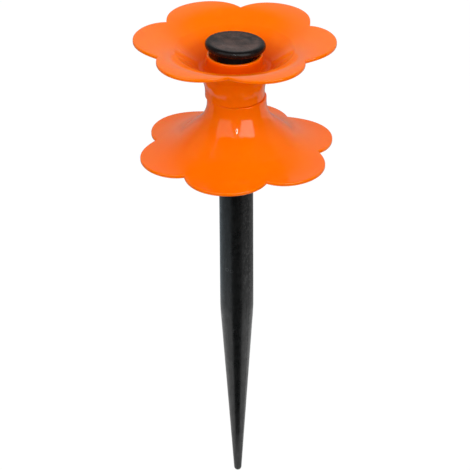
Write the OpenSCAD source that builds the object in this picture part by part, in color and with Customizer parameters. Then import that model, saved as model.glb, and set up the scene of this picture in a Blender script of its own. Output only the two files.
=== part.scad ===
// Hose guide stake: two six-petalled flowers that turn on a ground stake and guard a plant bed's corner.
// Z is up, and the origin is on the stake's axis in the plane of the lower flower's rim, which stands at
// ground level when the stake is pushed home. All lengths are in millimetres, all angles in degrees.

/* [Flower] */
// Number of petals round one flower
petal_count = 6; // [5:1:8]
// Radius of the round end of a petal
petal_r = 24; // [22:0.2:27]
// Distance of a petal's centre from the axis
petal_reach = 31; // [28:0.2:33]
// Wall thickness of skirt and petals
flower_wall = 2; // [1.5:0.1:2.5]
// Height of one flower from its seam end to its rim, measured at the notches
flower_h = 32.35; // [30:0.05:36]
// Turn of the upper flower's petals about the axis
upper_turn = -4.5; // [-30:0.5:30]
// Turn of the lower flower's petals about the axis
lower_turn = 20.5; // [-30:0.5:30]
// Sideways rest of the upper flower in its play on the spindle
upper_shift = -0.4; // [-1:0.1:1]
// Sideways rest of the lower flower in its play on the spindle
lower_shift = 0.6; // [-1:0.1:1]

/* [Neck and flare] */
// Outer diameter of the neck that the hose runs round
neck_d = 32.6; // [31:0.2:34]
// Straight length of the neck, from the seam to the start of the flare
neck_straight = 3; // [1:0.5:4]
// Radius of the hollow curve from neck to flare
neck_blend_r = 18; // [14:1:20]
// Radius of the bend from flare to petals
shoulder_r = 5; // [3:0.5:8]
// Steepness of a petal where the bend begins
petal_slope = 30; // [26:1:32]
// Radius of the shallow dish of the petals
dish_r = 38; // [36:1:42]
// Distance from the axis at which a petal lies level
level_r = 52.9; // [51:0.1:54]
// Rounding of the neck's outer edge at the seam
seam_edge_r = 0.4; // [0.2:0.1:0.8]

/* [Bearing tube] */
// Bore of the tube that turns on the spindle
bore_d = 27.4; // [26:0.2:28]
// Wall thickness of the tube inside the bowl
tube_wall = 1.6; // [1.5:0.1:1.9]
// Drop of the tube's end below the rim
tube_drop = 7.5; // [6:0.5:9]
// Rounding of the edges of the tube's end
tube_edge_r = 0.7; // [0.3:0.1:0.7]
// Radius of the hollow between the tube and the bowl
moat_r = 3; // [2:0.25:3.5]
// Gap between the seam ends of the two flowers
seam_gap = 0.3; // [0.2:0.05:0.6]

/* [Stake] */
// Diameter of the spindle that passes through both flowers
spindle_d = 19; // [17:0.1:21]
// Diameter of the collar that carries the flowers
collar_d = 32; // [30:0.5:34]
// Thickness of the collar's rim
collar_t = 3; // [2:0.5:5]
// Height of the cone that carries the collar
collar_cone_h = 4; // [3:0.5:8]
// Gap between the collar and the lower flower's tube
collar_gap = 0.3; // [0.2:0.05:0.5]
// Diameter of the straight shaft
shaft_d = 19; // [17:0.1:21]
// Length of the straight shaft below ground level
shaft_l = 102; // [70:1:120]
// Length of the tapered spike
spike_l = 114.5; // [80:0.5:130]
// Radius of the spike's round point
point_r = 2.2; // [1:0.1:3]

/* [Cap] */
// Diameter of the cap's head
head_d = 33; // [31:0.1:36]
// Thickness of the head
head_t = 4; // [3.9:0.1:6]
// Rounding of the head's upper edge
head_edge_r = 2; // [1:0.1:2.1]
// Rounding of the head's lower edge
head_under_r = 1.8; // [0.5:0.1:1.8]
// Depth of the shallow dish in the head's top
head_dish = 0.6; // [0.3:0.1:1.2]
// Height of the head's top above the upper rim
head_rise = -0.4; // [-1.5:0.1:1.5]
// Diameter of the plug that is pushed into the spindle
plug_d = 11; // [8:0.5:14]
// Length of the plug
plug_l = 18; // [12:1:24]
// Lead-in chamfer at the plug's end
plug_lead = 1; // [0.5:0.1:2]
// Clearance round the plug and under its end
plug_gap = 0.05; // [0.02:0.01:0.1]

/* [Hidden] */
$fn = 96;

orange = [1, 0.45, 0.02];
black = [0.13, 0.13, 0.14];

// Segments on one bend of a turned outline
bend_steps = 8;
// Segments on the rounding of an edge
edge_steps = 4;
// Length by which a cutting form runs past what it cuts
past = 1;

neck_r = neck_d / 2;
bore_r = bore_d / 2;
tube_r = bore_r + tube_wall;
flower_r = petal_reach + petal_r;
half_pitch = 180 / petal_count;
// Distance of the notches between petals from the axis
notch_r = petal_reach * cos(half_pitch) + sqrt(pow(petal_r, 2) - pow(petal_reach * sin(half_pitch), 2));
tube_h = flower_h - tube_drop;

// Heights of the assembly
lower_seam_z = flower_h;
upper_seam_z = lower_seam_z + seam_gap;
upper_rim_z = upper_seam_z + flower_h;
collar_z = tube_drop - collar_gap;
head_top_z = upper_rim_z + head_rise;
head_under_z = head_top_z - head_t;

// A point of a turned outline, on an arc about c where the outline's steepness is s
function at_slope(c, r, s) = c + r * [-sin(s), cos(s)];
function slope_arc(c, r, from, to, steps) =
    [for (i = [0:steps]) at_slope(c, r, from + (to - from) * i / steps)];
// Rounding of an edge about c, a quarter turn on from the direction a
function edge_arc(c, r, a) =
    [for (i = [0:edge_steps]) c + r * [cos(a + 90 * i / edge_steps), sin(a + 90 * i / edge_steps)]];
function backwards(path) = [for (i = [len(path) - 1:-1:0]) path[i]];

// Centres of the three arcs on the hose side: neck blend, dish of the petals, and the shoulder between them
blend_c = [neck_r + neck_blend_r, neck_straight];
dish_c = [level_r, flower_h - flower_wall - sqrt(pow(dish_r, 2) - pow(level_r - notch_r, 2))];
shoulder_c = at_slope(dish_c, dish_r - shoulder_r, petal_slope);
// The flare is the straight line that touches neck blend and shoulder
centres = shoulder_c - blend_c;
flare_slope = atan2(centres.y, centres.x) - asin((neck_blend_r - shoulder_r) / norm(centres));
end_slope = asin((level_r - flower_r - past) / dish_r);
// The hollow touches the tube and the skirt's inner face, on the neck blend or further out on the flare
inner_r = neck_blend_r + flower_wall;
moat_slope = max(flare_slope, asin((blend_c.x - tube_r - moat_r) / (inner_r + moat_r)));
moat_start = at_slope(blend_c, inner_r + moat_r, moat_slope);
moat_c = moat_start + (tube_r + moat_r - moat_start.x) * [1, tan(flare_slope)];

// The skirt's face at a distance off the hose side, from the shoulder out to past the petals' tips
function petal_face(off) = concat(
    slope_arc(shoulder_c, shoulder_r + off, flare_slope, petal_slope, bend_steps),
    slope_arc(dish_c, dish_r + off, petal_slope, end_slope, bend_steps));

// Half section of a flower, from its seam end at z = 0 up to its rim
flower_outline = concat(
    [[bore_r, 0]],
    edge_arc([neck_r - seam_edge_r, seam_edge_r], seam_edge_r, -90),
    slope_arc(blend_c, neck_blend_r, 90, flare_slope, bend_steps),
    petal_face(0),
    backwards(petal_face(flower_wall)),
    slope_arc(blend_c, inner_r, flare_slope, moat_slope, bend_steps),
    slope_arc(moat_c, -moat_r, moat_slope, -90, bend_steps),
    edge_arc([tube_r - tube_edge_r, tube_h - tube_edge_r], tube_edge_r, 0),
    edge_arc([bore_r + tube_edge_r, tube_h - tube_edge_r], tube_edge_r, 90));

// Outline of the petals, cut straight through the turned skirt
module petals() {
    linear_extrude(flower_h + flower_wall)
        union() {
            circle(r = petal_reach);
            for (i = [0:petal_count - 1])
                rotate(i * 360 / petal_count)
                    translate([petal_reach, 0])
                        circle(r = petal_r);
        }
}

module flower() {
    color(orange)
        intersection() {
            rotate_extrude() polygon(flower_outline);
            petals();
        }
}

// Stands on the collar, petals down
module lower_flower() {
    translate([lower_shift, 0, lower_seam_z])
        rotate([180, 0, lower_turn])
            flower();
}

// Stands on the lower flower, petals up
module upper_flower() {
    translate([upper_shift, 0, upper_seam_z])
        rotate(upper_turn)
            flower();
}

// Spike, shaft, collar and spindle in one turned piece, with a blind socket for the cap's plug
module ground_stake() {
    socket_z = head_under_z - plug_l - plug_gap;
    color(black)
        difference() {
            union() {
                translate([0, 0, collar_z - past])
                    cylinder(d = spindle_d, h = head_under_z - collar_z + past);
                translate([0, 0, collar_z - collar_t])
                    cylinder(d = collar_d, h = collar_t);
                translate([0, 0, collar_z - collar_t - collar_cone_h])
                    cylinder(d1 = shaft_d, d2 = collar_d, h = collar_cone_h);
                translate([0, 0, -shaft_l])
                    cylinder(d = shaft_d, h = shaft_l + collar_z - past);
                spike();
            }
            translate([0, 0, socket_z])
                cylinder(d = plug_d + 2 * plug_gap, h = plug_l + plug_gap + past);
        }
}

// The tapered end with its round point, which starts inside the shaft
module spike() {
    taper = atan((shaft_d / 2 - point_r) / spike_l);
    point_z = -shaft_l - spike_l + point_r;
    rotate_extrude()
        polygon(concat(
            [[0, -shaft_l + past], [shaft_d / 2, -shaft_l + past], [shaft_d / 2, -shaft_l]],
            [for (i = [0:bend_steps])
                let (a = taper + (90 - taper) * i / bend_steps)
                [point_r * cos(a), point_z - point_r * sin(a)]]));
}

// Broad head with a dished top, and the plug that is pushed into the spindle
module cap() {
    head_r = head_d / 2;
    flat_r = head_r - head_edge_r;
    color(black)
        union() {
            translate([0, 0, head_under_z])
                rotate_extrude()
                    polygon(concat(
                        [[0, 0]],
                        edge_arc([head_r - head_under_r, head_under_r], head_under_r, -90),
                        edge_arc([flat_r, head_t - head_edge_r], head_edge_r, 0),
                        [for (i = [1:bend_steps])
                            let (share = 1 - i / bend_steps)
                            [flat_r * share, head_t - head_dish * (1 - pow(share, 2))]]));
            translate([0, 0, head_under_z - plug_l + plug_lead])
                cylinder(d = plug_d, h = plug_l);
            translate([0, 0, head_under_z - plug_l])
                cylinder(d1 = plug_d - 2 * plug_lead, d2 = plug_d, h = plug_lead);
        }
}

ground_stake();
lower_flower();
upper_flower();
cap();
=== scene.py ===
import math

import bmesh
import bpy
from mathutils import Matrix, Vector


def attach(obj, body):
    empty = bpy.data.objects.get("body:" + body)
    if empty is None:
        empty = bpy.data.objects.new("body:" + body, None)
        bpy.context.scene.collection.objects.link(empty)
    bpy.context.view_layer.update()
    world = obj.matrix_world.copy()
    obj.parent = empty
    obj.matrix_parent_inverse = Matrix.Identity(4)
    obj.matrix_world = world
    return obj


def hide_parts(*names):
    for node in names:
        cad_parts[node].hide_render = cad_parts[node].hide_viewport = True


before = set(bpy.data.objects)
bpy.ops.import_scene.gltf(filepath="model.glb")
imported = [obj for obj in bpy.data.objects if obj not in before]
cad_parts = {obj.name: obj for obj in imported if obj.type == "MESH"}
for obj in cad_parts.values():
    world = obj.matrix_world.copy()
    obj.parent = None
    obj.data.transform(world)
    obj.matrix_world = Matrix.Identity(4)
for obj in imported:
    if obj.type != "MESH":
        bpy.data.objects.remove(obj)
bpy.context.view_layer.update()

# Lengths are in metres and angles in radians. Z is up, and the origin is on the stake's axis
# in the plane of the lower flower's rim.
MM = 0.001

# Petals
PETALS = 6
PETAL_R = 24 * MM
PETAL_REACH = 31 * MM
WALL = 2 * MM
FLOWER_H = 32.35 * MM
UPPER_TURN = math.radians(-4.5)
LOWER_TURN = math.radians(20.5)
UPPER_SHIFT = -0.4 * MM
LOWER_SHIFT = 0.6 * MM
RIM_EDGE_R = 0.55 * MM

# Neck and flare, the groove that the hose runs in
NECK_R = 16.3 * MM
NECK_STRAIGHT = 3 * MM
NECK_BLEND_R = 18 * MM
LIP_R = 5 * MM
CREASE_R = 20 * MM
FLARE_SLOPE = math.radians(40)
PETAL_SLOPE = math.radians(30)
DISH_R = 38 * MM
LEVEL_R = 52.9 * MM
SEAM_EDGE_R = 0.4 * MM

# Bearing tube
BORE_R = 13.7 * MM
TUBE_R = 15.3 * MM
TUBE_DROP = 7.5 * MM
TUBE_EDGE_R = 0.7 * MM
MOAT_R = 3 * MM
SEAM_GAP = 0.3 * MM

# Stake
SPINDLE_R = 9.5 * MM
COLLAR_R = 16 * MM
COLLAR_T = 3 * MM
COLLAR_CONE_H = 4 * MM
COLLAR_GAP = 0.3 * MM
SHAFT_R = 9.5 * MM
SHAFT_L = 102 * MM
SPIKE_L = 114.5 * MM
POINT_R = 2.2 * MM
TAPER_BLEND = 4 * MM
RIDGE_H = 0.2 * MM
RIDGE_W = 0.36 * MM
RIDGE_TURN = math.radians(-41)

# Cap
HEAD_R = 16.5 * MM
HEAD_T = 4 * MM
HEAD_EDGE_R = 2 * MM
HEAD_UNDER_R = 1.8 * MM
HEAD_DISH = 0.6 * MM
HEAD_RISE = -0.4 * MM
HEAD_LEAN = math.radians(2.6)
HEAD_TIP = math.radians(2)
PLUG_R = 5.5 * MM
PLUG_L = 18 * MM

# Heights of the assembly
COLLAR_Z = TUBE_DROP - COLLAR_GAP
UPPER_SEAM_Z = FLOWER_H + SEAM_GAP
UPPER_RIM_Z = UPPER_SEAM_Z + FLOWER_H
HEAD_TOP_Z = UPPER_RIM_Z + HEAD_RISE
HEAD_UNDER_Z = HEAD_TOP_Z - HEAD_T

# Columns round one petal, and rows on a bend, on a face and on the rounding of an edge
PETAL_STEPS = 80
BEND_STEPS = 14
FACE_STEPS = 14
EDGE_STEPS = 5
QUARTER = math.pi / 2

# Photograph's frame and view
VIEW_DISTANCE = 1.25
VIEW_ELEVATION = math.radians(29.6)
VIEW_ROLL = math.radians(0.36)
VIEW_TARGET = Vector((-0.81 * MM, 0, -55.04 * MM))
SENSOR = 36
LENS = 169.7

# Studio
FLOOR_Z = -SHAFT_L - SPIKE_L - 1 * MM
WALL_LIGHT = 0.14
BACKDROP_LIGHT = 0.26
ROOM_LIGHT = 0.01
SOFT_LIGHT = 0.58
TOP_LIGHT = 0.45
FLOOR_SIZE = 6


class Number:
    """A number in a node tree. Arithmetic on it adds the Math nodes that work it out."""

    def __init__(self, tree, socket):
        self.tree = tree
        self.socket = socket

    def math(self, operation, *others):
        node = self.tree.nodes.new("ShaderNodeMath")
        node.operation = operation
        for place, value in enumerate((self, *others)):
            if isinstance(value, Number):
                self.tree.links.new(value.socket, node.inputs[place])
            else:
                node.inputs[place].default_value = value
        return Number(self.tree, node.outputs[0])

    def __add__(self, other):
        return self.math("ADD", other)

    def __sub__(self, other):
        return self.math("SUBTRACT", other)

    def __rsub__(self, other):
        return (self - other) * -1

    def __mul__(self, other):
        return self.math("MULTIPLY", other)

    def __truediv__(self, other):
        return self.math("DIVIDE", other)

    __radd__ = __add__
    __rmul__ = __mul__

    def __rtruediv__(self, other):
        return self.math("POWER", -1) * other

    def sqrt(self):
        return self.math("SQRT")

    def sin(self):
        return self.math("SINE")

    def cos(self):
        return self.math("COSINE")


class Flower:
    """The node tree of one flower: bands of a turned wall, cut off at the petals' outline."""

    SIZES = {
        "Petals": PETALS, "Petal Radius": PETAL_R, "Petal Reach": PETAL_REACH, "Wall": WALL,
        "Height": FLOWER_H, "Rim Edge": RIM_EDGE_R, "Neck Radius": NECK_R,
        "Neck Straight": NECK_STRAIGHT, "Neck Blend": NECK_BLEND_R, "Crease": CREASE_R, "Lip": LIP_R,
        "Petal Slope": PETAL_SLOPE, "Dish": DISH_R, "Level Radius": LEVEL_R,
        "Seam Edge": SEAM_EDGE_R, "Bore Radius": BORE_R, "Tube Radius": TUBE_R,
        "Tube Drop": TUBE_DROP, "Tube Edge": TUBE_EDGE_R, "Moat": MOAT_R,
    }

    def __init__(self):
        self.tree = bpy.data.node_groups.new("petalled_flower", "GeometryNodeTree")
        face = self.tree.interface
        for name in self.SIZES:
            kind = "NodeSocketInt" if name == "Petals" else "NodeSocketFloat"
            face.new_socket(name, in_out="INPUT", socket_type=kind)
        face.new_socket("Finish", in_out="INPUT", socket_type="NodeSocketMaterial")
        face.new_socket("Geometry", in_out="OUTPUT", socket_type="NodeSocketGeometry")
        self.given = self.tree.nodes.new("NodeGroupInput")
        self.bands = []
        self.derive()
        self.skirt()
        self.tube()
        self.close()

    def size(self, name):
        return Number(self.tree, self.given.outputs[name])

    def derive(self):
        """The places of the three arcs, from the sizes alone."""
        size = self.size
        self.half_pitch = math.pi / size("Petals")
        self.blend_r = size("Neck Radius") + size("Neck Blend")
        self.blend_z = size("Neck Straight")
        notch = self.outline(self.half_pitch, 0)
        drop = (size("Dish") * size("Dish") - (size("Level Radius") - notch) * (size("Level Radius") - notch)).sqrt()
        self.dish_z = size("Height") - size("Wall") - drop
        self.crease = self.shoulder(size("Crease"))
        self.lip = self.shoulder(size("Lip"))
        flare = self.lip[2]
        self.moat_r = size("Tube Radius") + size("Moat")
        reach = size("Neck Blend") + size("Wall") + size("Moat")
        self.moat = ((self.blend_r - self.moat_r) / reach).math("ARCSINE").math("MAXIMUM", flare)
        start_r, start_z = self.on_arc(self.blend_r, self.blend_z, reach, self.moat)
        self.moat_z = start_z + (self.moat_r - start_r) * flare.math("TANGENT")

    def shoulder(self, radius):
        """Centre of the bend from flare to petals, and the steepness of a flare that touches it and the neck."""
        size = self.size
        gap = size("Dish") - radius
        r = size("Level Radius") - gap * size("Petal Slope").sin()
        z = self.dish_z + gap * size("Petal Slope").cos()
        across = r - self.blend_r
        up = z - self.blend_z
        lean = (size("Neck Blend") - radius) / (across * across + up * up).sqrt()
        return r, z, up.math("ARCTAN2", across) - lean.math("ARCSINE")

    def outline(self, turn, inset):
        """Distance of the petals' outline from the axis, drawn in by inset."""
        reach = self.size("Petal Reach")
        round_r = self.size("Petal Radius") - inset
        side = reach * turn.sin()
        return reach * turn.cos() + (round_r * round_r - side * side).sqrt()

    def face_z(self, r, off):
        """Height of the dished face at a distance r, off the hose side by off."""
        radius = self.size("Dish") + off
        aside = r - self.size("Level Radius")
        return self.dish_z + (radius * radius - aside * aside).sqrt()

    def band(self, rows, place):
        """A ring of wall. Place gives distance and height for a share of the band and a turn in the petal."""
        nodes, links = self.tree.nodes, self.tree.links
        grid = nodes.new("GeometryNodeMeshGrid")
        for name, value in (("Size X", 1), ("Size Y", 1), ("Vertices X", rows + 1)):
            grid.inputs[name].default_value = value
        columns = self.size("Petals") * PETAL_STEPS + 1
        links.new(columns.socket, grid.inputs["Vertices Y"])
        split = nodes.new("ShaderNodeSeparateXYZ")
        links.new(nodes.new("GeometryNodeInputPosition").outputs[0], split.inputs[0])
        share = Number(self.tree, split.outputs[0]) + 0.5
        turn = (Number(self.tree, split.outputs[1]) + 0.5) * math.tau
        in_petal = (turn + self.half_pitch).math("FLOORED_MODULO", self.half_pitch * 2) - self.half_pitch
        r, z = place(share, in_petal)
        join = nodes.new("ShaderNodeCombineXYZ")
        for value, socket in zip((r * turn.cos(), r * turn.sin(), z), join.inputs):
            links.new(value.socket, socket)
        move = nodes.new("GeometryNodeSetPosition")
        links.new(grid.outputs["Mesh"], move.inputs["Geometry"])
        links.new(join.outputs[0], move.inputs["Position"])
        self.bands.append(move)

    def arc(self, steps, centre_r, centre_z, radius, start, end):
        """A band whose steepness goes from start to end, about a centre on the hose side."""
        def place(share, turn):
            slope = share * (end - start) + start
            return centre_r - radius * slope.sin(), centre_z + radius * slope.cos()
        self.band(steps, place)

    def straight(self, steps, ends):
        """A band between two points of the section, each a distance and a height."""
        (r0, z0), (r1, z1) = ends
        self.band(steps, lambda share, turn: (share * (r1 - r0) + r0, share * (z1 - z0) + z0))

    def on_arc(self, centre_r, centre_z, radius, slope):
        return centre_r - radius * slope.sin(), centre_z + radius * slope.cos()

    def side(self, off):
        """Flare, shoulder and petal face, off the hose side by off."""
        size = self.size
        blend = size("Neck Blend") + off
        if off is self.none:
            start, bend, (bend_r, bend_z, flare) = off + QUARTER, size("Crease"), self.crease
        else:
            start, bend, (bend_r, bend_z, flare) = self.moat, size("Lip") + off, self.lip
        self.arc(BEND_STEPS, self.blend_r, self.blend_z, blend, start, flare)
        self.straight(2, (self.on_arc(self.blend_r, self.blend_z, blend, flare),
                          self.on_arc(bend_r, bend_z, bend, flare)))
        self.arc(BEND_STEPS, bend_r, bend_z, bend, flare, size("Petal Slope"))
        inner = size("Level Radius") - (size("Dish") + off) * size("Petal Slope").sin()

        def petal(share, turn):
            r = share * (self.outline(turn, size("Rim Edge")) - inner) + inner
            return r, self.face_z(r, off)
        self.band(FACE_STEPS, petal)

    def rim(self, off, way):
        """The rounding between a face and the petals' cut edge. Way is 1 on the hose side, -1 in the bowl."""
        edge = self.size("Rim Edge")

        def place(share, turn):
            angle = share * QUARTER
            r = self.outline(turn, edge * (1 - angle.sin()))
            return r, self.face_z(r, off) + edge * (1 - angle.cos()) * way
        self.band(EDGE_STEPS, place)

    def skirt(self):
        size = self.size
        self.none = size("Wall") * 0
        self.side(self.none)
        self.rim(self.none, 1)
        edge = size("Rim Edge")

        def cut(share, turn):
            r = self.outline(turn, self.none)
            low = self.face_z(r, self.none) + edge
            high = self.face_z(r, size("Wall")) - edge
            return r, share * (high - low) + low
        self.band(2, cut)
        self.rim(size("Wall"), -1)
        self.side(size("Wall"))

    def quarter(self, centre_r, centre_z, radius, start):
        """A rounded edge: a quarter turn of the section that begins at the angle start."""
        def place(share, turn):
            angle = share * QUARTER + start
            return centre_r + radius * angle.cos(), centre_z + radius * angle.sin()
        self.band(EDGE_STEPS, place)

    def tube(self):
        """Bearing tube, seam end and the straight part of the neck."""
        size = self.size
        edge, seam, bore, outer = size("Tube Edge"), size("Seam Edge"), size("Bore Radius"), size("Tube Radius")
        top = size("Height") - size("Tube Drop")
        neck = size("Neck Radius")
        self.arc(BEND_STEPS, self.moat_r, self.moat_z, size("Moat") * -1, self.moat, -QUARTER)
        self.straight(FACE_STEPS, ((outer, self.moat_z), (outer, top - edge)))
        self.quarter(outer - edge, top - edge, edge, 0)
        self.straight(1, ((outer - edge, top), (bore + edge, top)))
        self.quarter(bore + edge, top - edge, edge, QUARTER)
        self.straight(FACE_STEPS, ((bore, top - edge), (bore, self.none)))
        self.straight(3, ((bore, self.none), (neck - seam, self.none)))
        self.quarter(neck - seam, seam, seam, -QUARTER)
        self.straight(2, ((neck, seam), (neck, self.blend_z)))

    def close(self):
        """Bands become one closed wall in the flower's finish; piece later shades it smooth but for its crisp edges.
        """
        nodes, links = self.tree.nodes, self.tree.links
        join = nodes.new("GeometryNodeJoinGeometry")
        for move in reversed(self.bands):
            links.new(move.outputs[0], join.inputs[0])
        merge = nodes.new("GeometryNodeMergeByDistance")
        merge.inputs["Distance"].default_value = 0.002 * MM
        links.new(join.outputs[0], merge.inputs[0])
        real = nodes.new("GeometryNodeRealizeInstances")
        links.new(merge.outputs[0], real.inputs[0])
        finish = nodes.new("GeometryNodeSetMaterial")
        links.new(real.outputs[0], finish.inputs["Geometry"])
        links.new(self.given.outputs["Finish"], finish.inputs["Material"])
        out = nodes.new("NodeGroupOutput")
        links.new(finish.outputs[0], out.inputs[0])

    def mesh(self, name, finish):
        """The plain mesh that the tree makes, in the flower's own frame with its seam end at z = 0."""
        maker = bpy.data.objects.new(name + "_maker", bpy.data.meshes.new(name + "_maker"))
        bpy.context.scene.collection.objects.link(maker)
        modifier = maker.modifiers.new("petals", "NODES")
        modifier.node_group = self.tree
        for item in self.tree.interface.items_tree:
            if item.in_out != "INPUT":
                continue
            modifier[item.identifier] = finish if item.name == "Finish" else self.SIZES[item.name]
        maker.update_tag()
        bpy.context.view_layer.update()
        seen = maker.evaluated_get(bpy.context.evaluated_depsgraph_get())
        mesh = bpy.data.meshes.new_from_object(seen)
        mesh.name = name
        maker.modifiers.remove(modifier)
        bpy.data.objects.remove(maker)
        return mesh


def piece(name, mesh, body, slot, *nodes):
    """A finished mesh becomes a piece that rides on a body and stands for its nodes."""
    shape = bmesh.new()
    shape.from_mesh(mesh)
    bmesh.ops.remove_doubles(shape, verts=shape.verts, dist=0.002 * MM)
    bmesh.ops.recalc_face_normals(shape, faces=shape.faces)
    shape.to_mesh(mesh)
    shape.free()
    for polygon in mesh.polygons:
        polygon.use_smooth = True
    mesh.set_sharp_from_angle(angle=math.radians(38))
    obj = bpy.data.objects.new(name, mesh)
    bpy.context.scene.collection.objects.link(obj)
    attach(obj, body)
    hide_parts(*nodes)
    return obj


def flower_pieces(finish):
    flower = Flower()
    upper = flower.mesh("upper_flower_moulding", finish)
    upper.transform(Matrix.Translation((UPPER_SHIFT, 0, UPPER_SEAM_Z)) @ Matrix.Rotation(UPPER_TURN, 4, "Z"))
    lower = flower.mesh("lower_flower_moulding", finish)
    lower.transform(Matrix.Translation((LOWER_SHIFT, 0, FLOWER_H)) @ Matrix.Rotation(LOWER_TURN, 4, "Z")
                    @ Matrix.Rotation(math.pi, 4, "X"))
    piece("upper_flower_moulding", upper, "upper_roller", "flower_plastic", "upper_flower")
    piece("lower_flower_moulding", lower, "lower_roller", "flower_plastic", "lower_flower")


def quarter_points(centre_r, centre_z, radius, start, steps=EDGE_STEPS):
    """Points of a rounded edge in a section, a quarter turn from the angle start."""
    angles = [start + QUARTER * i / steps for i in range(steps + 1)]
    return [(centre_r + radius * math.cos(a), centre_z + radius * math.sin(a)) for a in angles]


def turned(name, section, turns, place):
    """A closed turned shape. The section starts and ends on the axis; place may move a point."""
    shape = bmesh.new()
    rings = []
    for r, z in section:
        if r < 1e-9:
            rings.append([shape.verts.new(place(0, 0, z))])
        else:
            rings.append([shape.verts.new(place(r, turn, z)) for turn in turns])
    count = len(turns)
    for low, high in zip(rings, rings[1:]):
        for i in range(count):
            j = (i + 1) % count
            if len(low) == 1:
                shape.faces.new((low[0], high[j], high[i]))
            elif len(high) == 1:
                shape.faces.new((low[i], low[j], high[0]))
            else:
                shape.faces.new((low[i], low[j], high[j], high[i]))
    mesh = bpy.data.meshes.new(name)
    shape.to_mesh(mesh)
    shape.free()
    return mesh


def filled(points, gap):
    """The same section with points added so that no step is longer than gap."""
    result = [points[0]]
    for (r0, z0), (r1, z1) in zip(points, points[1:]):
        steps = max(1, math.ceil(math.hypot(r1 - r0, z1 - z0) / gap))
        result += [(r0 + (r1 - r0) * i / steps, z0 + (z1 - z0) * i / steps) for i in range(1, steps + 1)]
    return result


def stake_piece(finish):
    """Spike, shaft, collar and spindle, with the parting ridges of the mould along both sides."""
    taper = math.atan((SHAFT_R - POINT_R) / SPIKE_L)
    point_z = -SHAFT_L - SPIKE_L + POINT_R
    section = [(0, point_z - POINT_R)]
    for i in range(1, BEND_STEPS + 1):
        a = QUARTER + (taper - QUARTER) * i / BEND_STEPS
        section.append((POINT_R * math.cos(a), point_z - POINT_R * math.sin(a)))
    slope = math.tan(taper)
    for i in range(BEND_STEPS + 1):
        d = -TAPER_BLEND + 2 * TAPER_BLEND * i / BEND_STEPS
        section.append((SHAFT_R - slope * (TAPER_BLEND - d) ** 2 / (4 * TAPER_BLEND), -SHAFT_L + d))
    section.append((SHAFT_R, COLLAR_Z - COLLAR_T - COLLAR_CONE_H))
    section += quarter_points(COLLAR_R - 0.4 * MM, COLLAR_Z - COLLAR_T + 0.4 * MM, 0.4 * MM, -QUARTER)
    section += quarter_points(COLLAR_R - 0.4 * MM, COLLAR_Z - 0.4 * MM, 0.4 * MM, 0)
    section += [(SPINDLE_R, COLLAR_Z), (SPINDLE_R, HEAD_UNDER_Z), (PLUG_R, HEAD_UNDER_Z),
                (PLUG_R, HEAD_UNDER_Z - PLUG_L), (0, HEAD_UNDER_Z - PLUG_L)]
    section = filled(section, 0.65 * MM)
    ridge_turns = (RIDGE_TURN, RIDGE_TURN + math.pi)
    coarse = [math.tau * i / 104 for i in range(104)]
    fine = [ridge + offset * RIDGE_W / SHAFT_R / 3 for ridge in ridge_turns for offset in range(-6, 7)]
    near = 2.2 * RIDGE_W / SHAFT_R

    def away(turn):
        return min(abs((turn - ridge + math.pi) % math.tau - math.pi) for ridge in ridge_turns)
    turns = sorted([t % math.tau for t in fine] + [t for t in coarse if away(t) > near])

    def place(r, turn, z):
        side = away(turn) * r / RIDGE_W
        rise = 0
        if z < COLLAR_Z - COLLAR_T - COLLAR_CONE_H and r > POINT_R:
            ragged = 0.62 + 0.38 * math.sin(z / (0.42 * MM)) * math.cos(z / (1.7 * MM) + 1)
            rise = RIDGE_H * ragged * math.exp(-4 * side * side)
        return (r + rise) * math.cos(turn), (r + rise) * math.sin(turn), z
    mesh = turned("stake_moulding", section, turns, place)
    mesh.materials.append(finish)
    return piece("stake_moulding", mesh, "stake", "stake_plastic", "ground_stake")


def cap_piece(finish):
    """Broad head, sunk unevenly in its middle, with the plug below it."""
    flat = HEAD_R - HEAD_EDGE_R
    section = [(0, HEAD_UNDER_Z - PLUG_L + 0.2 * MM), (PLUG_R - 1 * MM, HEAD_UNDER_Z - PLUG_L + 0.2 * MM),
               (PLUG_R - 0.05 * MM, HEAD_UNDER_Z - PLUG_L + 1.2 * MM), (PLUG_R - 0.05 * MM, HEAD_UNDER_Z)]
    section += quarter_points(HEAD_R - HEAD_UNDER_R, HEAD_UNDER_Z + HEAD_UNDER_R, HEAD_UNDER_R, -QUARTER, 8)
    section += quarter_points(flat, HEAD_TOP_Z - HEAD_EDGE_R, HEAD_EDGE_R, 0, 10)
    section += [(flat * (1 - i / 24), HEAD_TOP_Z) for i in range(1, 25)]
    turns = [math.tau * i / 144 for i in range(144)]

    def place(r, turn, z):
        x, y = r * math.cos(turn), r * math.sin(turn)
        if z > HEAD_TOP_Z - 1e-7:
            share = min(r / flat, 1)
            u, v = x / flat, y / flat
            uneven = 0.16 * math.sin(3.1 * u + 0.6) * math.cos(2.3 * v + 0.4) + 0.1 * math.sin(4.7 * v - 2.2 * u)
            z -= HEAD_DISH * (1 - share ** 2) * (1 - share ** 8 * 0.4 + uneven)
        if r > PLUG_R:
            z -= (x * math.tan(HEAD_LEAN) + y * math.tan(HEAD_TIP)) * min(1, (r - PLUG_R) / (3 * MM))
        return x, y, z
    mesh = turned("cap_moulding", filled(section, 1.0 * MM), turns, place)
    mesh.materials.append(finish)
    return piece("cap_moulding", mesh, "stake", "cap_plastic", "cap")


def material(name):
    finish = bpy.data.materials.new(name)
    finish.use_nodes = True
    return finish, finish.node_tree, finish.node_tree.nodes["Principled BSDF"]


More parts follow.
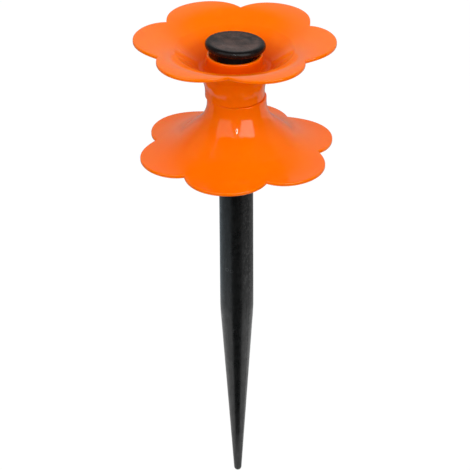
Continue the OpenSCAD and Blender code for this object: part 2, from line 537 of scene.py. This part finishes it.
def noise(tree, scale, detail=3.0, roughness=0.5, stretch=None):
    """A noise pattern on the object's own coordinates; stretch scales its axes."""
    place = tree.nodes.new("ShaderNodeTexCoord")
    spread = tree.nodes.new("ShaderNodeTexNoise")
    spread.inputs["Scale"].default_value = scale
    spread.inputs["Detail"].default_value = detail
    spread.inputs["Roughness"].default_value = roughness
    source = place.outputs["Object"]
    if stretch:
        mapping = tree.nodes.new("ShaderNodeMapping")
        mapping.inputs["Scale"].default_value = stretch
        tree.links.new(source, mapping.inputs[0])
        source = mapping.outputs[0]
    tree.links.new(source, spread.inputs["Vector"])
    return spread.outputs["Fac"]


def ranged(tree, value, low, high, to_low, to_high):
    node = tree.nodes.new("ShaderNodeMapRange")
    for name, number in (("From Min", low), ("From Max", high), ("To Min", to_low), ("To Max", to_high)):
        node.inputs[name].default_value = number
    tree.links.new(value, node.inputs["Value"])
    return node.outputs[0]


def blend_colour(tree, share, first, second):
    node = tree.nodes.new("ShaderNodeMix")
    node.data_type = "RGBA"
    tree.links.new(share, node.inputs["Factor"])
    for socket, colour in ((node.inputs["A"], first), (node.inputs["B"], second)):
        if isinstance(colour, tuple):
            socket.default_value = (*colour, 1)
        else:
            tree.links.new(colour, socket)
    return node.outputs["Result"]


def bump(tree, shader, *layers):
    """Bump from several heights, each a pattern and its depth in metres."""
    normal = None
    for height, depth in layers:
        node = tree.nodes.new("ShaderNodeBump")
        node.inputs["Distance"].default_value = depth
        node.inputs["Strength"].default_value = 1
        tree.links.new(height, node.inputs["Height"])
        if normal:
            tree.links.new(normal, node.inputs["Normal"])
        normal = node.outputs[0]
    tree.links.new(normal, shader.inputs["Normal"])


def from_axis(tree):
    """Distance from the stake's axis, and height above the lower rim."""
    place = tree.nodes.new("ShaderNodeTexCoord")
    split = tree.nodes.new("ShaderNodeSeparateXYZ")
    tree.links.new(place.outputs["Object"], split.inputs[0])
    x, y, z = (Number(tree, socket) for socket in split.outputs)
    return (x * x + y * y).sqrt(), z


def hollow_painted_shade(tree):
    """Mask of painted shade: 1 low in the hollow between the tube and the bowl, darkened there to stand in for
    shade, and 0 on all other faces.
    """
    r, z = from_axis(tree)
    up = (z - (FLOWER_H + SEAM_GAP / 2)).math("ABSOLUTE")
    aside = r - (NECK_R + NECK_BLEND_R)
    rise = up - NECK_STRAIGHT
    beyond = rise * math.cos(FLARE_SLOPE) - aside * math.sin(FLARE_SLOPE)
    wall = (aside * aside + rise * rise).sqrt().math("MINIMUM", beyond)
    inner = ranged(tree, wall.socket, NECK_BLEND_R + 0.8 * MM, NECK_BLEND_R + 1.4 * MM, 0, 1)
    share = Number(tree, ranged(tree, r.socket, 33 * MM, 18 * MM, 0, 0.8))
    share = share + Number(tree, ranged(tree, r.socket, 21 * MM, 18.5 * MM, 0, 0.2))
    share = share * inner_face(tree, r) * Number(tree, inner)
    return share * Number(tree, ranged(tree, up.socket, 25.8 * MM, 22.5 * MM, 0, 1))


def inner_face(tree, r):
    """Share of the painted shade: 1 outside the bore's own face, and weaker on the tube than in the hollow beside
    it.
    """
    off_bore = Number(tree, ranged(tree, r.socket, BORE_R + 0.4 * MM, BORE_R + 1 * MM, 0, 0.8))
    return off_bore + Number(tree, ranged(tree, r.socket, TUBE_R + 0.3 * MM, TUBE_R + 0.9 * MM, 0, 0.2))


def orange_finish():
    """Glossy moulded orange, a little cloudy, with soft flow waves, hair scratches and painted shade in the hollow
    beside the tube.
    """
    finish, tree, shader = material("glossy_orange_plastic")
    cloud = ranged(tree, noise(tree, 38, 2), 0.3, 0.7, 0, 1)
    painted_shade = hollow_painted_shade(tree)
    skin = blend_colour(tree, cloud, (1.0, 0.162, 0.0), (1.0, 0.178, 0.0))
    # Painted shade: low in the hollow the orange is blended towards a dark red orange (0.7, 0.072, 0) in place of
    # the shade there.
    tree.links.new(blend_colour(tree, painted_shade.socket, skin, (0.7, 0.072, 0.0)), shader.inputs["Base Color"])
    tree.links.new(ranged(tree, noise(tree, 160, 4), 0.3, 0.75, 0.07, 0.13), shader.inputs["Roughness"])
    # The painted shade also turns the gloss down in the hollow, so that it mirrors less there.
    tree.links.new((painted_shade * -0.42 + 0.5).socket, shader.inputs["Specular IOR Level"])
    shader.inputs["Subsurface Weight"].default_value = 0.25
    shader.inputs["Subsurface Radius"].default_value = (1, 0.2, 0.05)
    shader.inputs["Subsurface Scale"].default_value = 1.5 * MM
    bump(tree, shader, (noise(tree, 70, 1), 0.05 * MM), (noise(tree, 900, 2), 0.002 * MM))
    return finish


def black_finish(name, dark, light, smooth, rough, grain):
    """Satin black moulded plastic with a mottled skin."""
    finish, tree, shader = material(name)
    mottle = ranged(tree, noise(tree, 420, 4, 0.6), 0.35, 0.7, 0, 1)
    tree.links.new(blend_colour(tree, mottle, dark, light), shader.inputs["Base Color"])
    tree.links.new(ranged(tree, noise(tree, 260, 4), 0.3, 0.75, smooth, rough), shader.inputs["Roughness"])
    bump(tree, shader, (noise(tree, 300, 3), grain), (noise(tree, 1600, 2), grain / 4))
    return finish


def round_mark(tree, x, y, z, radius):
    """1 on a small ring about a point of the stake's surface, as an ejector leaves, and 0 off it."""
    place = tree.nodes.new("ShaderNodeTexCoord")
    away = tree.nodes.new("ShaderNodeVectorMath")
    away.operation = "DISTANCE"
    away.inputs[1].default_value = (x, y, z)
    tree.links.new(place.outputs["Object"], away.inputs[0])
    off = (Number(tree, away.outputs["Value"]) - radius).math("ABSOLUTE")
    return Number(tree, ranged(tree, off.socket, 0.1 * MM, 0.3 * MM, 1, 0))


def stake_finish():
    """Black plastic of the stake, speckled along its parting line and with small round marks in front."""
    finish = black_finish("satin_black_plastic", (0.003, 0.0033, 0.0035), (0.007, 0.0078, 0.008),
                          0.26, 0.4, 0.012 * MM)
    tree = finish.node_tree
    place = tree.nodes.new("ShaderNodeTexCoord")
    split = tree.nodes.new("ShaderNodeSeparateXYZ")
    tree.links.new(place.outputs["Object"], split.inputs[0])
    x, z = split.outputs[0], split.outputs[2]
    streaks = Number(tree, ranged(tree, noise(tree, 700, 3, 0.6, (1, 1, 0.22)), 0.38, 0.66, 0.42, 0.6))
    specks = Number(tree, ranged(tree, noise(tree, 800, 2, 0.6, (1, 1, 0.6)), 0.52, 0.62, 0, 0.55))
    scuffed = Number(tree, ranged(tree, x, 2.5 * MM, 5 * MM, 0.12, 1))
    scuffed = scuffed * Number(tree, ranged(tree, z, -95 * MM, -75 * MM, 0.2, 1))
    marks = round_mark(tree, -5.4 * MM, -7.8 * MM, -73.2 * MM, 0.9 * MM)
    marks = marks + round_mark(tree, -2.9 * MM, -9 * MM, -73.6 * MM, 0.9 * MM)
    marks = marks + round_mark(tree, -1.2 * MM, -8.7 * MM, -113.7 * MM, 1.1 * MM)
    level = streaks + specks * scuffed + marks * 0.5
    tree.links.new(level.socket, tree.nodes["Principled BSDF"].inputs["Specular IOR Level"])
    return finish


def cap_finish():
    """Black plastic of the cap, its colour lighter and warmer in uneven patches on its top but not at its edge."""
    finish = black_finish("cap_black_plastic", (0.005, 0.004, 0.004), (0.01, 0.008, 0.008), 0.2, 0.32, 0.015 * MM)
    tree = finish.node_tree
    shader = tree.nodes["Principled BSDF"]
    shader.inputs["Specular IOR Level"].default_value = 0.22
    # The base colour turns a lighter warm grey in uneven noise patches over the top, fading out before the rounded
    # edge.
    inside = ranged(tree, from_axis(tree)[0].socket, HEAD_R - 4.2 * MM, HEAD_R - 1.9 * MM, 1, 0)
    patches = ranged(tree, noise(tree, 85, 3, 0.6), 0.4, 0.6, 0.12, 1)
    share = Number(tree, inside) * Number(tree, patches)
    skin = shader.inputs["Base Color"].links[0].from_socket
    warm_top_patches = blend_colour(tree, share.socket, skin, (0.078, 0.045, 0.038))
    tree.links.new(warm_top_patches, shader.inputs["Base Color"])
    return finish


def camera():
    lens = bpy.data.cameras.new("photo_view")
    obj = bpy.data.objects.new("photo_view", lens)
    bpy.context.scene.collection.objects.link(obj)
    back = Vector((0, -math.cos(VIEW_ELEVATION), math.sin(VIEW_ELEVATION)))
    obj.location = VIEW_TARGET + VIEW_DISTANCE * back
    turn = Matrix.Rotation(QUARTER - VIEW_ELEVATION, 3, "X") @ Matrix.Rotation(-VIEW_ROLL, 3, "Z")
    obj.rotation_euler = turn.to_euler()
    lens.sensor_width = SENSOR
    lens.lens = LENS
    lens.clip_start = 0.01
    bpy.context.scene.camera = obj


def soft_light(name, azimuth, elevation, distance, width, height, power, mirrored):
    """A rectangular light aimed at the flowers, either mirrored by them or shining softly on them.
    Azimuth 0 is the camera's side, and turns to the right."""
    light = bpy.data.lights.new(name, "AREA")
    light.shape = "RECTANGLE"
    light.size = width
    light.size_y = height
    light.energy = power
    obj = bpy.data.objects.new(name, light)
    bpy.context.scene.collection.objects.link(obj)
    a, e = math.radians(azimuth), math.radians(elevation)
    aim = Vector((0, 0, 30 * MM))
    obj.location = aim + distance * Vector((math.sin(a) * math.cos(e), -math.cos(a) * math.cos(e), math.sin(e)))
    obj.rotation_euler = (aim - obj.location).to_track_quat("-Z", "Y").to_euler()
    obj.visible_glossy = mirrored
    obj.visible_diffuse = not mirrored
    return obj


def seen_share(tree):
    """1 for the rays that show a surface, from the camera or by a mirror or glass, and 0 for soft light."""
    rays = tree.nodes.new("ShaderNodeLightPath")
    seen = Number(tree, rays.outputs["Is Camera Ray"])
    seen = seen + Number(tree, rays.outputs["Is Glossy Ray"]) + Number(tree, rays.outputs["Is Transmission Ray"])
    return seen.math("MINIMUM", 1)


def lit_only_by_view(tree, plain, shown):
    """Camera, mirror and glass rays see the shown surface, and all other rays the plain one."""
    mix = tree.nodes.new("ShaderNodeMixShader")
    tree.links.new(seen_share(tree).socket, mix.inputs[0])
    tree.links.new(plain, mix.inputs[1])
    tree.links.new(shown, mix.inputs[2])
    return mix.outputs[0]


def studio_walls():
    """World light of a studio: even soft light, and for mirror rays white walls with a dim ceiling and front."""
    world = bpy.data.worlds.new("studio")
    bpy.context.scene.world = world
    world.use_nodes = True
    tree = world.node_tree
    place = tree.nodes.new("ShaderNodeTexCoord")
    split = tree.nodes.new("ShaderNodeSeparateXYZ")
    tree.links.new(place.outputs["Generated"], split.inputs[0])
    low = ranged(tree, split.outputs[2], math.sin(math.radians(43)), math.sin(math.radians(57)), 1, 0)
    back = ranged(tree, split.outputs[1], 0.08, 0.28, 0, 1)
    behind = ranged(tree, split.outputs[1], 0.6, 0.85, 0, BACKDROP_LIGHT)
    wall = Number(tree, low) * (Number(tree, back) * WALL_LIGHT + Number(tree, behind))
    top = Number(tree, split.outputs[2]) * 0.8 + Number(tree, split.outputs[1]) * 0.6
    soft = top.math("MAXIMUM", 0) * TOP_LIGHT + SOFT_LIGHT
    strength = seen_share(tree) * (wall + ROOM_LIGHT - soft) + soft
    tree.links.new(strength.socket, tree.nodes["Background"].inputs["Strength"])
    tree.nodes["Background"].inputs["Color"].default_value = (1, 1, 1, 1)


def floor():
    """A white floor under the spike's point, which keeps a soft shadow of the object."""
    mesh = bpy.data.meshes.new("floor")
    shape = bmesh.new()
    bmesh.ops.create_circle(shape, cap_ends=True, segments=96, radius=FLOOR_SIZE)
    shape.to_mesh(mesh)
    shape.free()
    mesh.transform(Matrix.Translation((0, 0, FLOOR_Z)))
    obj = bpy.data.objects.new("floor", mesh)
    bpy.context.scene.collection.objects.link(obj)
    finish, tree, shader = material("white_floor")
    shader.inputs["Base Color"].default_value = (0.9, 0.9, 0.9, 1)
    shader.inputs["Roughness"].default_value = 0.9
    white = tree.nodes.new("ShaderNodeEmission")
    white.inputs["Strength"].default_value = 1.03
    mix = tree.nodes.new("ShaderNodeMixShader")
    mix.inputs[0].default_value = 0.88
    tree.links.new(shader.outputs[0], mix.inputs[1])
    tree.links.new(white.outputs[0], mix.inputs[2])
    plain = tree.nodes.new("ShaderNodeBsdfDiffuse")
    plain.inputs["Color"].default_value = (0.35, 0.35, 0.35, 1)
    out = tree.nodes["Material Output"]
    tree.links.new(lit_only_by_view(tree, plain.outputs[0], mix.outputs[0]), out.inputs[0])
    mesh.materials.append(finish)


def card(name, start, end, inner, outer, glow):
    """A card low round the object that only mirror rays meet, as a photographer's flag or reflector.
    It goes from the azimuth start to end, and glow is how bright it looks in a mirror."""
    steps = math.ceil((end - start) / 6)
    turns = [math.radians(start + (end - start) * i / steps) for i in range(steps + 1)]
    points = [(r * math.sin(t), -r * math.cos(t), FLOOR_Z + 1 * MM) for r in (inner, outer) for t in turns]
    mesh = bpy.data.meshes.new(name)
    mesh.from_pydata(points, [], [(i, i + 1, i + steps + 2, i + steps + 1) for i in range(steps)])
    obj = bpy.data.objects.new(name, mesh)
    bpy.context.scene.collection.objects.link(obj)
    finish, tree, shader = material(name)
    shader.inputs["Base Color"].default_value = (0, 0, 0, 1)
    shader.inputs["Specular IOR Level"].default_value = 0
    shader.inputs["Emission Color"].default_value = (*glow, 1)
    shader.inputs["Emission Strength"].default_value = 1
    mesh.materials.append(finish)
    obj.visible_camera = obj.visible_diffuse = obj.visible_shadow = obj.visible_transmission = False


def surroundings():
    studio_walls()
    floor()
    card("front_near_flag", -36, 36, 0.03, 0.38, (0, 0, 0))
    card("left_near_card", -180, -36, 0.2, 0.38, (0.48, 0.57, 0.63))
    card("right_near_card", 36, 180, 0.2, 0.38, (0.36, 0.36, 0.36))
    card("front_far_flag", -97, 97, 0.38, FLOOR_SIZE, (0, 0, 0))
    card("left_far_card", -155, -97, 0.38, FLOOR_SIZE, (0.25, 0.25, 0.25))
    card("right_far_card", 97, 155, 0.38, FLOOR_SIZE, (0.5, 0.5, 0.5))
    card("back_far_card", 155, 205, 0.38, FLOOR_SIZE, (0.3, 0.3, 0.3))
    soft_light("left_window", -43, 28.5, 1.2, 1.02, 1.47, 4.2, True)
    soft_light("right_window", 35.5, 27, 1.2, 0.897, 1.28, 9.6, True)
    soft_light("strip", -0.2, 33, 1.2, 0.05, 0.38, 2.1, True)
    soft_light("key", 8, 38, 1.2, 3.2, 1.1, 16.5, False)


def main():
    camera()
    orange = orange_finish()
    flower_pieces(orange)
    stake_piece(stake_finish())
    cap_piece(cap_finish())
    surroundings()
    bpy.context.scene.view_settings.view_transform = "Standard"


main()
